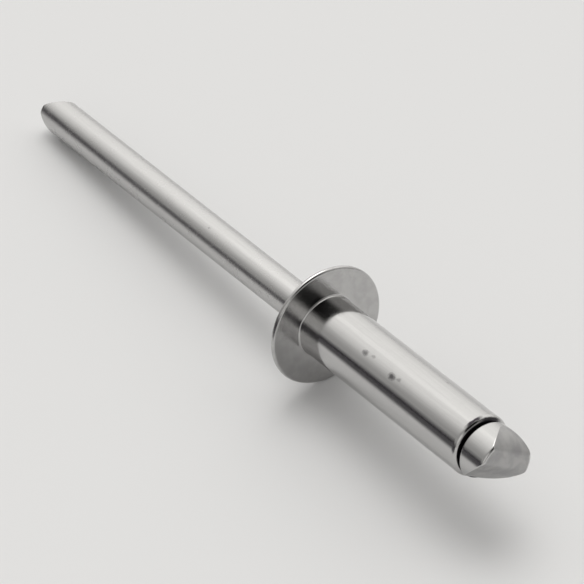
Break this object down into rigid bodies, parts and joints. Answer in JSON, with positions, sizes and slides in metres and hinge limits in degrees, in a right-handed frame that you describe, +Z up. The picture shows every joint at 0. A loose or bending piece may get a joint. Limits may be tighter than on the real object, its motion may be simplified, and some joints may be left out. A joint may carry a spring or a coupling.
{
  "type": "blind rivet",
  "caption": "Unset open-end blind rivet: hollow sleeve with a domed flange on a pulling stem with a pinch-cut tail and an upset head that draws into the sleeve.",
  "frame": {"origin": "on the surface that the rivet lies on, under the middle of its length", "axes": "+Z up, +X along the rivet from the tail of its stem to its head. The rivet's own axis climbs 5.4 degrees towards +X, because it lies on the rim of its flange and on the tail of its stem, with the head off the surface"},
  "size_m": [0.0572, 0.0094, 0.0094],
  "materials": {
    "body_steel": "bright stainless steel, drawn and polished, with a few small pits",
    "stem_steel": "bright drawn stainless wire, with duller pinch-cut faces at both ends"
  },
  "bodies": {
    "root": {"rivet_body": "body_steel", "mandrel": "stem_steel"}
  },
  "joints": []
}
